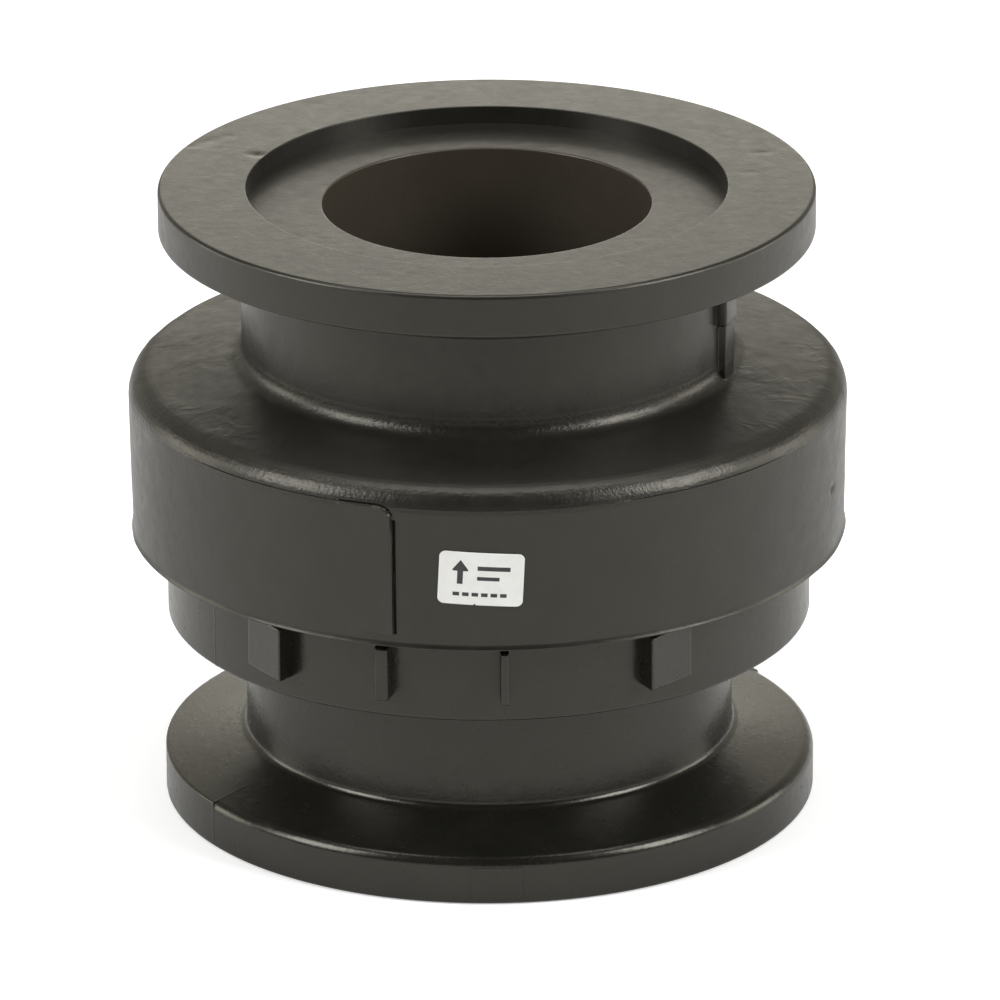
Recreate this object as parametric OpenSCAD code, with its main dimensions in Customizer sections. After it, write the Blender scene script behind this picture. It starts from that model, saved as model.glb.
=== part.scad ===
// Flanged non-return valve: two moulded casings screwed together round a spring-loaded poppet.
// Flow runs upwards, +Z. The origin is on the axis, at the lower flange's face.

/* [Flanges] */
// Outer diameter of both clamp flanges
flange_d = 50.8; // [48:0.1:52]
// Height of the upper flange's straight rim
rim_h = 3.35; // [2.8:0.05:4]
// Height of the lower flange's straight rim
lower_rim_h = 3.7; // [2.8:0.05:4]
// Slope of the clamping face behind a rim, in degrees
clamp_slope = 22.3; // [18:0.1:28]
// Diameter of the flow bore at both ends
bore_d = 25.4; // [24.6:0.1:27]
// Diameter of the gasket recess in each flange face
recess_d = 37.2; // [34:0.1:40]
// Depth of the gasket recess
recess_depth = 1.4; // [0.8:0.05:2]
// Rounding at the foot of the gasket recess
recess_round = 0.6; // [0.2:0.05:0.7]

/* [Upper housing] */
// Height of the whole valve
overall_h = 49.5; // [48.5:0.05:54]
// Largest diameter of the barrel, at its shoulder
barrel_d = 55.9; // [54:0.1:60]
// Draft of the barrel's wall, in degrees
barrel_draft = 1.2; // [0:0.1:2.5]
// Height of the barrel's top corner
shoulder_z = 34.65; // [34:0.05:36]
// Fall of the shoulder from neck to corner, in degrees
shoulder_slope = 8; // [4:0.5:12]
// Rounding of the shoulder's corner
shoulder_round = 2.1; // [1:0.05:3]
// Diameter of the upper neck
neck_d = 38.14; // [37:0.1:40]
// Fillet between shoulder and neck
neck_fillet = 2.2; // [1:0.1:3]
// Fillet between a neck and its flange
flange_fillet = 1.8; // [0.6:0.1:2.4]
// How far the parting strips stand off the neck
strip_stand = 0.8; // [0.3:0.05:1]
// Width of a parting strip round the neck, in degrees
strip_sweep = 8; // [6:0.5:16]
// Width of the flat pad on the barrel
pad_w = 4.3; // [3:0.1:5]
// Height of the flat pad on the barrel
pad_h = 10.3; // [8:0.1:11]

/* [End fitting] */
// Height of the collar's underside
collar_z = 14.95; // [14.4:0.05:15.4]
// Height of the collar, up to the barrel's foot
collar_h = 6.85; // [6:0.05:7]
// Diameter of the collar
collar_d = 50.1; // [49.4:0.05:51]
// Diameter of the lower neck
fitting_neck_d = 37.6; // [36:0.1:39]
// Number of spanner lugs round the collar
lug_count = 5; // [4:1:8]
// Width of a lug, in degrees
lug_sweep = 11.5; // [8:0.5:15]
// How far a lug stands off the collar at its driving face
lug_stand = 1.65; // [1:0.05:2.2]
// How far a lug still stands off the collar at its other end
lug_tail = 0.65; // [0.3:0.05:1]
// Plain band left under the lugs and ribs
lug_band = 1.85; // [1:0.05:3]
// Gap between the lugs and ribs and the barrel above them
lug_gap = 0.7; // [0.3:0.05:1.2]
// Width of the wider of the two ribs between the lugs
rib_w = 1; // [0.6:0.05:1.5]
// How far a rib stands off the collar
rib_stand = 1.6; // [0.5:0.05:2]

/* [Screwed joint] */
// Diameter of the fitting's screwed zone
thread_d = 47.8; // [47.2:0.05:48.4]
// Height of the screwed zone
thread_h = 4.6; // [4:0.1:5]
// Diameter of the fitting's sealing land
land_d = 46; // [45.4:0.05:46.6]
// Height of the fitting's skirt above the collar
skirt_h = 9.25; // [8.8:0.05:9.5]
// Inside diameter of the skirt, round the poppet
chamber_d = 40; // [38:0.1:40.6]
// Radial clearance between the two mouldings
joint_clear = 0.1; // [0.05:0.01:0.2]
// Thickness of the O-ring's cord
o_ring_cord = 1.78; // [1.5:0.02:2]
// Squeeze of the O-ring, as a share of its cord
o_ring_squeeze = 0.1; // [0.05:0.01:0.2]

/* [Seat] */
// Height of the valve seat
seat_z = 18.75; // [18:0.05:19]
// Diameter of the throat at the seat
throat_d = 24.4; // [23.6:0.1:24.6]
// Width of the flat seat
seat_w = 1.7; // [1.2:0.1:2]
// Depth of the trough round the seat
trough_depth = 1.2; // [0.6:0.1:1.6]

/* [Poppet] */
// Travel of the poppet
lift = 5.5; // [4:0.1:5.6]
// Diameter of the poppet's head
head_d = 31.8; // [31:0.1:33]
// Thickness of the head over the seal
head_h = 2.5; // [2:0.1:3]
// Diameter of the stem
stem_d = 6; // [5:0.1:6.4]
// Height of the pilot that centres the spring
pilot_h = 1.8; // [1.2:0.1:2.4]
// Height of the stop above the spring's seat
stop_h = 4.25; // [3.8:0.05:4.4]
// Number of gussets on the head
gusset_count = 6; // [3:1:8]
// Thickness of the seal
seal_h = 2; // [1.5:0.1:2.5]
// Diameter of the steel retainer
retainer_d = 22.4; // [20:0.1:23]
// Thickness of the steel retainer
retainer_h = 1.2; // [0.8:0.1:1.5]
// Thread diameter of the retainer's screw
screw_d = 4; // [3:0.5:4]
// Length of the screw under its head
screw_l = 9; // [8:0.5:10]

/* [Guide and spring] */
// Height of the spider's ring
spider_h = 3; // [2.4:0.1:3.4]
// Wall between the spider's ring and its bore
spider_wall = 1.9; // [1.4:0.1:2.1]
// Number of arms
arm_count = 3; // [3:1:5]
// Width of an arm
arm_w = 2.2; // [1.6:0.1:3]
// Height of the shelf that the spider sits against
shelf_z = 38.85; // [38.2:0.05:39]
// Thickness of the snap ring
snap_h = 0.95; // [0.7:0.05:1.1]
// Depth of the snap ring's groove
snap_depth = 0.9; // [0.6:0.05:1.2]
// Mean diameter of the spring
spring_d = 10.8; // [10.4:0.1:12]
// Thickness of the spring's wire
wire_d = 0.8; // [0.6:0.05:1]
// Turns that work, without the closed ends
active_turns = 4.5; // [3.5:0.5:5.5]
// Thickness of each spring washer
washer_h = 0.5; // [0.3:0.05:0.8]

/* [Label] */
// Width of the label
label_w = 6.5; // [5:0.05:10]
// Height of the label
label_h = 4.25; // [3:0.05:6]
// Thickness of the label
label_t = 0.12; // [0.08:0.01:0.2]
// Tilt of the label, in degrees
label_tilt = 3; // [0:0.5:6]

/* [Hidden] */
$fn = 96;
arc_steps = 6;

// Running and seating gaps
stem_clear = 0.08;
fit_gap = 0.02;
slip_gap = 0.1;
stop_gap = 0.25;

// Edge breaks of the mouldings
edge_break = 0.3;
fine_break = 0.15;

flange_r = flange_d / 2;
bore_r = bore_d / 2;
recess_r = recess_d / 2;
neck_r = neck_d / 2;
fitting_neck_r = fitting_neck_d / 2;
collar_r = collar_d / 2;
barrel_r = barrel_d / 2;
barrel_foot_z = collar_z + collar_h;
barrel_foot_r = barrel_r - (shoulder_z - barrel_foot_z) * tan(barrel_draft);
shoulder_foot_z = shoulder_z + (barrel_r - neck_r) * tan(shoulder_slope);

// The screwed joint, from the collar upwards
thread_r = thread_d / 2;
land_r = land_d / 2;
chamber_r = chamber_d / 2;
thread_top_z = barrel_foot_z + thread_h;
skirt_top_z = barrel_foot_z + skirt_h;
groove_depth = o_ring_cord * (1 - o_ring_squeeze) - joint_clear;
groove_w = o_ring_cord * 1.35;
groove_wall = 1;
groove_top_z = skirt_top_z - groove_wall;
groove_mid_z = groove_top_z - groove_w / 2;
groove_r = land_r - groove_depth;
ceiling_z = skirt_top_z + 0.5;
ceiling_slope = 12;

// The poppet, from the seat upwards
throat_r = throat_d / 2;
seat_r = throat_r + seat_w;
seal_z = seat_z + fit_gap;
seal_r = seat_r + 0.9;
head_r = head_d / 2;
head_z = seal_z + seal_h;
head_lip_z = seat_z + 0.8;
spring_seat_z = head_z + head_h;
stop_z = spring_seat_z + stop_h;
seal_hole_r = 6;
insert_r = screw_d / 2 + 0.9;
insert_l = 7;
insert_z = seal_z + 0.4;

// The spring and the guide above it
spring_r = spring_d / 2;
spring_in_r = spring_r - wire_d / 2;
pilot_r = spring_in_r - 0.3;
washer_r = spring_r + wire_d / 2 + 0.7;
spider_z = shelf_z - spider_h;
counterbore_r = bore_r + 2.3;
spider_r = counterbore_r - slip_gap;
spider_in_r = spider_r - spider_wall;
hub_z = stop_z + lift + stop_gap;
spring_bottom_z = spring_seat_z + washer_h + fit_gap;
spring_top_z = spider_z - washer_h - fit_gap;
stem_r = stem_d / 2;
stem_top_z = shelf_z - slip_gap;
snap_z = spider_z - fit_gap - snap_h;
snap_groove_r = counterbore_r + snap_depth;
ceiling_top_z = ceiling_z + (land_r - counterbore_r) * tan(ceiling_slope);

// Where things stand round the axis, in degrees from the front, -Y, towards +X
lug_face_right = 27.75;
lug_face_left = -36.9;
// Each rib's place, and its width as a share of rib_w
ribs = [[-18.1, 1], [2.6, 0.6]];
pad_angle = -23.9;
pad_z = 22.85;
strip_angle = 71.4;
strip_step_z = 40.45;
// How much narrower a parting strip is below its step
strip_inset = 1.4;
label_angle = -1.2;
label_z = 27.7;
// Half the gap of the snap ring, turned to the back
snap_gap_half = 14;

moulding_black = [0.13, 0.13, 0.125];
moulding_grey = [0.3, 0.31, 0.32];
rubber_black = [0.06, 0.06, 0.06];
steel = [0.72, 0.73, 0.75];
brass = [0.78, 0.63, 0.32];
label_white = [0.9, 0.9, 0.88];

// Outlines: each corner is [radius, height, rounding], and a rounding is limited by its sides
function unit(v) = v / norm(v);
function corner(a, b, c, r) =
    let (
        u = unit(a - b),
        v = unit(c - b),
        half = acos(max(-1, min(1, u * v))) / 2,
        reach = min(r / tan(half), 0.49 * min(norm(a - b), norm(c - b))),
        used = reach * tan(half),
        centre = b + unit(u + v) * used / sin(half),
        first = b + u * reach - centre,
        last = b + v * reach - centre,
        sweep = 180 - 2 * half
    )
    [for (i = [0:arc_steps])
        centre + (sin(sweep * (1 - i / arc_steps)) * first + sin(sweep * i / arc_steps) * last) / sin(sweep)];
function flat(p) = [p[0], p[1]];
function outline(pts) = [
    for (i = [0:len(pts) - 1])
        let (
            n = len(pts),
            a = flat(pts[(i + n - 1) % n]),
            b = flat(pts[i]),
            c = flat(pts[(i + 1) % n])
        )
        each (pts[i][2] > 0 ? corner(a, b, c, pts[i][2]) : [b])
];

module turned(pts) {
    rotate_extrude() polygon(outline(pts));
}

// Turns its children so that -Y moves to the angle given
module at_angle(angle) {
    rotate([0, 0, angle]) children();
}

// A block that follows the circle: from r0 to r1, z0 to z1, centred on an angle from the front
module arc_block(r0, r1, z0, z1, angle, sweep) {
    rotate([0, 0, angle - 90 - sweep / 2])
        rotate_extrude(angle = sweep)
            translate([r0, z0]) square([r1 - r0, z1 - z0]);
}

module tube(r_out, r_in, z0, z1) {
    turned([[r_in, z0, 0], [r_out, z0, 0], [r_out, z1, 0], [r_in, z1, 0]]);
}

// The slope behind a rim, from the rim's edge to the neck
function clamp_rise(neck) = (flange_r - neck) * tan(clamp_slope);

function barrel_r_at(z) = barrel_foot_r + (z - barrel_foot_z) * tan(barrel_draft);

module upper_housing() {
    color(moulding_black) {
        difference() {
            turned(concat(housing_outside(), housing_inside()));
            snap_groove();
        }
        wall_pad();
        for (side = [0, 180]) at_angle(side) parting_strip();
    }
}

function housing_outside() = [
    [thread_r + joint_clear, barrel_foot_z, 0.4],
    [barrel_foot_r, barrel_foot_z, edge_break],
    [barrel_r, shoulder_z, shoulder_round],
    [neck_r, shoulder_foot_z, neck_fillet],
    [neck_r, overall_h - rim_h - clamp_rise(neck_r), flange_fillet],
    [flange_r, overall_h - rim_h, edge_break],
    [flange_r, overall_h, edge_break]
];

function housing_inside() = [
    [recess_r, overall_h, fine_break],
    [recess_r, overall_h - recess_depth, recess_round],
    [bore_r, overall_h - recess_depth, fine_break],
    [bore_r, shelf_z, 0],
    [counterbore_r, shelf_z, 0],
    [counterbore_r, ceiling_top_z, edge_break],
    [land_r + joint_clear, ceiling_z, 0],
    [land_r + joint_clear, thread_top_z + (thread_r - land_r), 0],
    [thread_r + joint_clear, thread_top_z, 0]
];

module snap_groove() {
    tube(snap_groove_r, counterbore_r - 1, snap_z - fit_gap, spider_z);
}

// Flat left by the mould's slide, tangent to the wall at its left edge
module wall_pad() {
    corner_r = 1.2;
    sunk = 2;
    pad_mid_z = pad_z + pad_h / 2;
    at_angle(pad_angle)
        translate([0, -barrel_r_at(pad_mid_z), pad_mid_z])
            rotate([90 + barrel_draft, 0, 0])
                translate([0, 0, -sunk])
                    linear_extrude(sunk)
                        polygon(outline([
                            [0, -pad_h / 2, 0],
                            [pad_w, -pad_h / 2, 0],
                            [pad_w, pad_h / 2, corner_r],
                            [0, pad_h / 2, 0]
                        ]));
}

// Raised strip on the neck where the mould's slides meet, wider and prouder above its step
module parting_strip() {
    sunk = 1;
    top_z = overall_h - rim_h - clamp_rise(neck_r);
    arc_block(neck_r - sunk, neck_r + strip_stand * 0.75, shoulder_foot_z, strip_step_z,
        strip_angle + strip_inset * 0.4, strip_sweep - strip_inset);
    arc_block(neck_r - sunk, neck_r + strip_stand, strip_step_z, top_z + strip_stand,
        strip_angle, strip_sweep);
}

module end_fitting() {
    color(moulding_black) {
        turned(concat(fitting_outside(), fitting_inside()));
        for (i = [0:lug_count - 1])
            if (i < lug_count / 2) at_angle(lug_face_right + i * 360 / lug_count) spanner_lug(1);
            else at_angle(lug_face_left - (lug_count - 1 - i) * 360 / lug_count) spanner_lug(-1);
        for (rib = ribs) at_angle(rib[0]) collar_rib(rib_w * rib[1]);
    }
}

function fitting_outside() = [
    [recess_r, 0, fine_break],
    [flange_r, 0, edge_break],
    [flange_r, lower_rim_h, edge_break],
    [fitting_neck_r, lower_rim_h + clamp_rise(fitting_neck_r), flange_fillet],
    [fitting_neck_r, collar_z, edge_break],
    [collar_r, collar_z, edge_break],
    [collar_r, barrel_foot_z, 0],
    [thread_r, barrel_foot_z, 0],
    [thread_r, thread_top_z - edge_break, fine_break],
    [land_r, thread_top_z + (thread_r - land_r) - edge_break, 0],
    [land_r, groove_top_z - groove_w, fine_break],
    [groove_r, groove_top_z - groove_w, 0],
    [groove_r, groove_top_z, 0],
    [land_r, groove_top_z, fine_break],
    [land_r, skirt_top_z, edge_break]
];

function fitting_inside() = [
    [chamber_r, skirt_top_z, edge_break],
    [chamber_r, seat_z - trough_depth, 1],
    [seat_r + trough_depth, seat_z - trough_depth, 0.5],
    [seat_r, seat_z, fine_break],
    [throat_r, seat_z, fine_break],
    [throat_r, seat_z - 4.6, 0],
    [bore_r, seat_z - 4.6 - 2 * (bore_r - throat_r), 0],
    [bore_r, recess_depth, fine_break],
    [recess_r, recess_depth, recess_round]
];

// Ramp with a radial face for the spanner's pin, falling to one side: 1 to the right, -1 to the left
module spanner_lug(side) {
    sunk = 1;
    inner = collar_r - sunk;
    tall = collar_r + lug_stand;
    low = collar_r + lug_tail;
    across = side * sin(lug_sweep);
    along = cos(lug_sweep);
    translate([0, 0, collar_z + lug_band])
        linear_extrude(collar_h - lug_band - lug_gap)
            polygon([
                [0, -inner],
                [0, -tall],
                [across * low, -along * low],
                [across * inner, -along * inner]
            ]);
}

module collar_rib(width) {
    sunk = 1;
    translate([-width / 2, -collar_r - rib_stand, collar_z + lug_band])
        cube([width, rib_stand + sunk, collar_h - lug_band - lug_gap]);
}

// The sticker lies on the barrel's drafted wall
module label() {
    color(label_white)
        intersection() {
            turned([
                [barrel_foot_r + fit_gap, barrel_foot_z, 0],
                [barrel_foot_r + fit_gap + label_t, barrel_foot_z, 0],
                [barrel_r + fit_gap + label_t, shoulder_z, 0],
                [barrel_r + fit_gap, shoulder_z, 0]
            ]);
            at_angle(label_angle)
                translate([0, 0, label_z])
                    rotate([90, label_tilt, 0])
                        linear_extrude(barrel_d)
                            polygon(outline([
                                [-label_w / 2, -label_h / 2, 0.5],
                                [label_w / 2, -label_h / 2, 0.5],
                                [label_w / 2, label_h / 2, 0.5],
                                [-label_w / 2, label_h / 2, 0.5]
                            ]));
        }
}

// The cord is flattened where it meets the groove and the housing
module body_o_ring() {
    squeezed_w = land_r + joint_clear - groove_r;
    color(rubber_black)
        rotate_extrude()
            translate([groove_r + squeezed_w / 2, groove_mid_z])
                intersection() {
                    circle(d = o_ring_cord, $fn = 32);
                    square([squeezed_w, o_ring_cord * 2], center = true);
                }
}

module guide_spider() {
    color(moulding_grey)
        difference() {
            union() {
                turned([
                    [spider_in_r, spider_z, 0.5],
                    [spider_r, spider_z, fine_break],
                    [spider_r, shelf_z, fine_break],
                    [spider_in_r, shelf_z, 0.5]
                ]);
                for (i = [0:arm_count - 1])
                    at_angle(i * 360 / arm_count) spider_arm();
                spider_hub();
            }
            translate([0, 0, hub_z - 1])
                cylinder(r = stem_r + stem_clear, h = shelf_z - hub_z + 2);
        }
}

// An arm is arched below and chamfered above where the flow meets it
module spider_arm() {
    arch = 0.9;
    root_r = stem_r + 1;
    translate([arm_w / 2, 0, 0])
        rotate([0, -90, 0])
            linear_extrude(arm_w)
                polygon(outline([
                    [spider_z, -root_r, 0],
                    [spider_z, -washer_r, 0],
                    [spider_z + arch, -(washer_r + spider_in_r) / 2, 4],
                    [spider_z, -spider_in_r - 0.5, 0],
                    [shelf_z, -spider_in_r - 0.5, 0],
                    [shelf_z, -root_r, 0]
                ]));
}

module spider_hub() {
    turned([
        [0, hub_z, 0],
        [pilot_r - 0.5, hub_z, 0.3],
        [pilot_r, spider_z - 0.9, 0],
        [pilot_r, spider_z, 0],
        [washer_r + 0.2, spider_z, 0.3],
        [washer_r + 0.2, spider_z + 0.8, 0.5],
        [pilot_r + 0.4, shelf_z, 0.5],
        [0, shelf_z, 0]
    ]);
}

// Flat ring with a gap at the back and an eye on each end
module spider_snap_ring() {
    ring_w = 2;
    ring_r = snap_groove_r - fit_gap;
    eye_r = 1.3;
    eye_mid_r = ring_r - ring_w - 0.2;
    color(steel)
        difference() {
            union() {
                rotate([0, 0, 90 + snap_gap_half])
                    rotate_extrude(angle = 360 - 2 * snap_gap_half)
                        translate([ring_r - ring_w, snap_z]) square([ring_w, snap_h]);
                for (side = [-1, 1])
                    rotate([0, 0, 90 + side * (snap_gap_half + 4)])
                        translate([eye_mid_r, 0, snap_z]) cylinder(r = eye_r, h = snap_h);
            }
            for (side = [-1, 1])
                rotate([0, 0, 90 + side * (snap_gap_half + 4)])
                    translate([eye_mid_r, 0, snap_z - 1]) cylinder(r = eye_r / 2, h = snap_h + 2);
        }
}

module upper_spring_washer() {
    color(steel) tube(washer_r, pilot_r + slip_gap, spider_z - washer_h, spider_z);
}

module lower_spring_washer() {
    color(steel) tube(washer_r, pilot_r + slip_gap, spring_seat_z, spring_seat_z + washer_h);
}

// Height of the wire's centre after a number of turns: closed, then even, then closed again
total_turns = active_turns + 2;
wire_low_z = spring_bottom_z + wire_d / 2;
wire_high_z = spring_top_z - wire_d / 2;
open_pitch = (wire_high_z - wire_low_z - 2 * wire_d) / active_turns;
function wire_z(turn) =
    turn < 1 ? wire_low_z + turn * wire_d
    : turn < total_turns - 1 ? wire_low_z + wire_d + (turn - 1) * open_pitch
    : wire_high_z - (total_turns - turn) * wire_d;

module spring() {
    sides = 8;
    per_turn = 24;
    rings = ceil(total_turns * per_turn);
    wire_r = wire_d / 2 - fit_gap;
    points = [
        for (i = [0:rings], j = [0:sides - 1])
            let (
                turn = total_turns * i / rings,
                out = spring_r + wire_r * cos(360 * j / sides),
                up = wire_z(turn) + wire_r * sin(360 * j / sides)
            )
            [out * cos(360 * turn), out * sin(360 * turn), up]
    ];
    faces = concat(
        [[for (j = [0:sides - 1]) j]],
        [for (i = [0:rings - 1], j = [0:sides - 1])
            let (a = i * sides + j, b = i * sides + (j + 1) % sides)
            each [[a, a + sides, b], [b, a + sides, b + sides]]],
        [[for (j = [sides - 1:-1:0]) rings * sides + j]]
    );
    color(steel) polyhedron(points = points, faces = faces, convexity = 10);
}

module poppet() {
    color(moulding_grey)
        difference() {
            union() {
                poppet_body();
                for (i = [0:gusset_count - 1])
                    at_angle(i * 360 / gusset_count) head_gusset();
            }
            translate([0, 0, insert_z - 2])
                cylinder(r = insert_r + fit_gap, h = insert_l + 2);
            translate([0, 0, insert_z])
                cylinder(r = screw_d / 2, h = insert_l + 0.8);
        }
}

module poppet_body() {
    turned([
        [0, seal_z + fine_break, 0],
        [seal_hole_r, seal_z + fine_break, fine_break],
        [seal_hole_r, head_z, 0],
        [seal_r + fit_gap, head_z, 0],
        [seal_r + fit_gap, head_lip_z, 0],
        [head_r, head_lip_z, edge_break],
        [head_r, head_z + 1.1, 0.7],
        [washer_r + 0.4, spring_seat_z, 0.4],
        [pilot_r, spring_seat_z, 0],
        [pilot_r, spring_seat_z + pilot_h, 0.3],
        [pilot_r - 0.5, stop_z, 0.3],
        [stem_r, stop_z, 0.3],
        [stem_r, stem_top_z, 0.8],
        [0, stem_top_z, 0]
    ]);
}

// Low rib from the spring's seat out to the rim
module head_gusset() {
    gusset_w = 1.2;
    foot_r = washer_r + 0.9;
    tip_r = head_r - 0.9;
    translate([gusset_w / 2, 0, 0])
        rotate([0, -90, 0])
            linear_extrude(gusset_w)
                polygon(outline([
                    [head_z + 0.4, -foot_r, 0],
                    [spring_seat_z + 0.5, -foot_r, 0.4],
                    [head_z + 1.5, -tip_r, 0.4],
                    [head_z + 0.4, -tip_r, 0]
                ]));
}

module poppet_insert() {
    color(brass)
        difference() {
            turned([
                [0, insert_z, 0],
                [insert_r, insert_z, 0.2],
                [insert_r, insert_z + insert_l * 0.4, 0.2],
                [insert_r - 0.4, insert_z + insert_l * 0.45, 0],
                [insert_r - 0.4, insert_z + insert_l * 0.55, 0],
                [insert_r, insert_z + insert_l * 0.6, 0.2],
                [insert_r, insert_z + insert_l, 0.2],
                [0, insert_z + insert_l, 0]
            ]);
            translate([0, 0, insert_z - 1])
                cylinder(r = screw_d / 2, h = insert_l + 2);
        }
}

module poppet_seal() {
    color(rubber_black)
        turned([
            [seal_hole_r + fit_gap, seal_z, 0],
            [seal_r, seal_z, 0.25],
            [seal_r, head_z, 0],
            [seal_hole_r + fit_gap, head_z, 0]
        ]);
}

// Disc with a rim turned down, and a hole for the screw
module seal_retainer() {
    retainer_r = retainer_d / 2;
    color(steel)
        turned([
            [screw_d / 2 + slip_gap, seal_z - retainer_h, 0],
            [retainer_r, seal_z - retainer_h, 0.5],
            [retainer_r, seal_z, 0.2],
            [screw_d / 2 + slip_gap, seal_z, 0]
        ]);
}

lock_h = screw_d * 0.2;
head_under_z = seal_z - retainer_h - lock_h;

module lock_washer() {
    lock_w = screw_d * 0.4;
    split = 12;
    color(steel)
        rotate([0, 0, split])
            rotate_extrude(angle = 360 - split)
                translate([screw_d / 2 + slip_gap, head_under_z]) square([lock_w, lock_h]);
}

module retainer_screw() {
    head_r = screw_d * 0.875;
    head_h = screw_d * 0.55;
    socket = screw_d * 0.625;
    color(steel)
        difference() {
            turned([
                [0, head_under_z - head_h, 0],
                [head_r, head_under_z - head_h, 0.9],
                [head_r, head_under_z, 0.1],
                [screw_d / 2 - fit_gap, head_under_z, 0],
                [screw_d / 2 - fit_gap, head_under_z + screw_l, 0.5],
                [0, head_under_z + screw_l, 0]
            ]);
            translate([0, 0, head_under_z - head_h - 1])
                cylinder(d = socket / cos(30), h = head_h * 0.6 + 1, $fn = 6);
        }
}

upper_housing();
end_fitting();
label();
body_o_ring();
guide_spider();
spider_snap_ring();
upper_spring_washer();
spring();
lower_spring_washer();
poppet();
poppet_insert();
poppet_seal();
seal_retainer();
lock_washer();
retainer_screw();
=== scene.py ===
import math

import bmesh
import bpy
import numpy as np
from mathutils import Matrix, Vector


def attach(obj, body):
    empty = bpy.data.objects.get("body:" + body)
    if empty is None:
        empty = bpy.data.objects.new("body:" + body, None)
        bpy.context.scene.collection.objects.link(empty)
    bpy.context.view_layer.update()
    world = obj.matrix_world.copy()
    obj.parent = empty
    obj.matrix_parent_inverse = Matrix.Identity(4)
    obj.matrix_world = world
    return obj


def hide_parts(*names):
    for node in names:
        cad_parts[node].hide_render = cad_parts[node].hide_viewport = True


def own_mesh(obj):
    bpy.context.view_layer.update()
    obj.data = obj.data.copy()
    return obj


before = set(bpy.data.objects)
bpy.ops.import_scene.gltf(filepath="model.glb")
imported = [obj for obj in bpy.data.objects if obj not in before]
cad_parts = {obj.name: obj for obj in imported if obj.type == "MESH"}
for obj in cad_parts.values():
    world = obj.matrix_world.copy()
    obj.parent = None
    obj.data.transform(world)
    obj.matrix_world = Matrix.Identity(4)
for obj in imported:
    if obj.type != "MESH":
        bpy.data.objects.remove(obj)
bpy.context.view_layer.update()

# Lengths are millimetres, and MM turns them into metres where a mesh is made.
# Angles round the axis are degrees from the front, -Y, towards +X.
MM = 0.001

# The two mouldings, as in the solids. The slopes and fillets of the clamp faces, the fillet over the shoulder
# and the foot of the outlet's recess follow the photo more closely, inside the solids
OVERALL_H = 49.5
FLANGE_R = 25.4
RIM_H = 3.35
LOWER_RIM_H = 3.7
CLAMP_SLOPE = math.tan(math.radians(17))
CLAMP_FILLET = 0.9
LOWER_CLAMP_SLOPE = math.tan(math.radians(14))
LOWER_CLAMP_FILLET = 0.6
BORE_R = 12.7
RECESS_R = 18.6
RECESS_DEPTH = 1.4
INLET_RECESS_ROUND = 0.6
RECESS_EDGE = 0.08
BARREL_R = 27.95
BARREL_DRAFT = math.tan(math.radians(1.2))
SHOULDER_Z = 34.65
SHOULDER_SLOPE = math.tan(math.radians(8))
SHOULDER_ROUND = 2.1
NECK_R = 19.07
NECK_FILLET = 1.2
COLLAR_Z = 14.95
COLLAR_TOP_Z = 21.8
COLLAR_R = 25.05
FITTING_NECK_R = 19.0
THREAD_R = 23.9
THREAD_TOP_Z = COLLAR_TOP_Z + 4.6
LAND_R = 23.0
CHAMBER_R = 20.0
SKIRT_TOP_Z = COLLAR_TOP_Z + 9.25
CEILING_Z = SKIRT_TOP_Z + 0.5
CEILING_TOP_Z = CEILING_Z + 1.7
SHELF_Z = 38.85
COUNTERBORE_R = 15.0
SEAT_Z = 18.75
SEAT_R = 13.9
THROAT_R = 12.2
THROAT_Z = SEAT_Z - 4.6
THROAT_FOOT_Z = THROAT_Z - 1
TROUGH_DEPTH = 1.2
FOOT_ROUND = 0.4
EDGE_BREAK = 0.3
FINE_BREAK = 0.15

# Gaps between the two mouldings, and between the faces of other neighbours
JOINT_CLEAR = 0.1
REST_GAP = 0.02

# How the fitting's rim is rounded at its upper edge, in the two halves of its mould
RIM_ROUND_SOFT = 0.95
RIM_ROUND_CRISP = 0.2

# Where that mould parts, on the left and opposite, and the thin line that it leaves there
PARTING_ANGLES = (-57.5, 122.5)
HALVES_BLEND = 0.12
PARTING_STAND = 0.03
PARTING_HALF = 0.14
PARTING_LEAST_R = 22.5
PARTING_COLUMNS = (-0.36, -0.24, -0.12, 0, 0.12, 0.24)

# Spanner lugs on the collar, a little shorter than in the solids: each has a radial face, and falls from it
# to the right, 1, or to the left, -1
LUG_FACES = ((27.75, 1), (99.75, 1), (171.75, 1), (-36.9, -1), (-108.9, -1))
LUG_SWEEP = 9.8
LUG_STAND = 1.65
LUG_TAIL = 0.35
LUG_Z = (16.8, 21.1)

# Ribs between the lugs, each an angle and a width
RIBS = ((-18.1, 1.0), (2.6, 0.6))
RIB_STAND = 1.6

# The flat pad on the barrel, and the dark line round its top and right side
PAD_ANGLE = -23.9
PAD_W = 4.3
PAD_Z = (22.85, 33.15)
PAD_CORNER = 1.2
PAD_CORNER_ROWS = 14
PAD_CORNER_COLUMNS = (0, 0.8, 1.6)
PAD_REACH = 20
PAD_LINE_OUT = 0.1
PAD_LINE_HALF = 0.06
PAD_LINE_DEPTH = 0.16
PAD_LINE_ROWS = (0.06, 0.1, 0.14, 0.24)
PAD_LINE_COLUMN = 0.2

# Parting strips on the housing's neck, lower and narrower below a step
STRIP_ANGLES = (71.4, 251.4)
STRIP_SWEEP = 8
STRIP_INSET = 1.4
STRIP_STAND = 0.8
STRIP_LOW_SHARE = 0.75
STRIP_EDGES = (-STRIP_SWEEP / 2, STRIP_INSET - STRIP_SWEEP / 2, STRIP_SWEEP / 2)
STRIP_STEP_Z = 40.45

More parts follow.
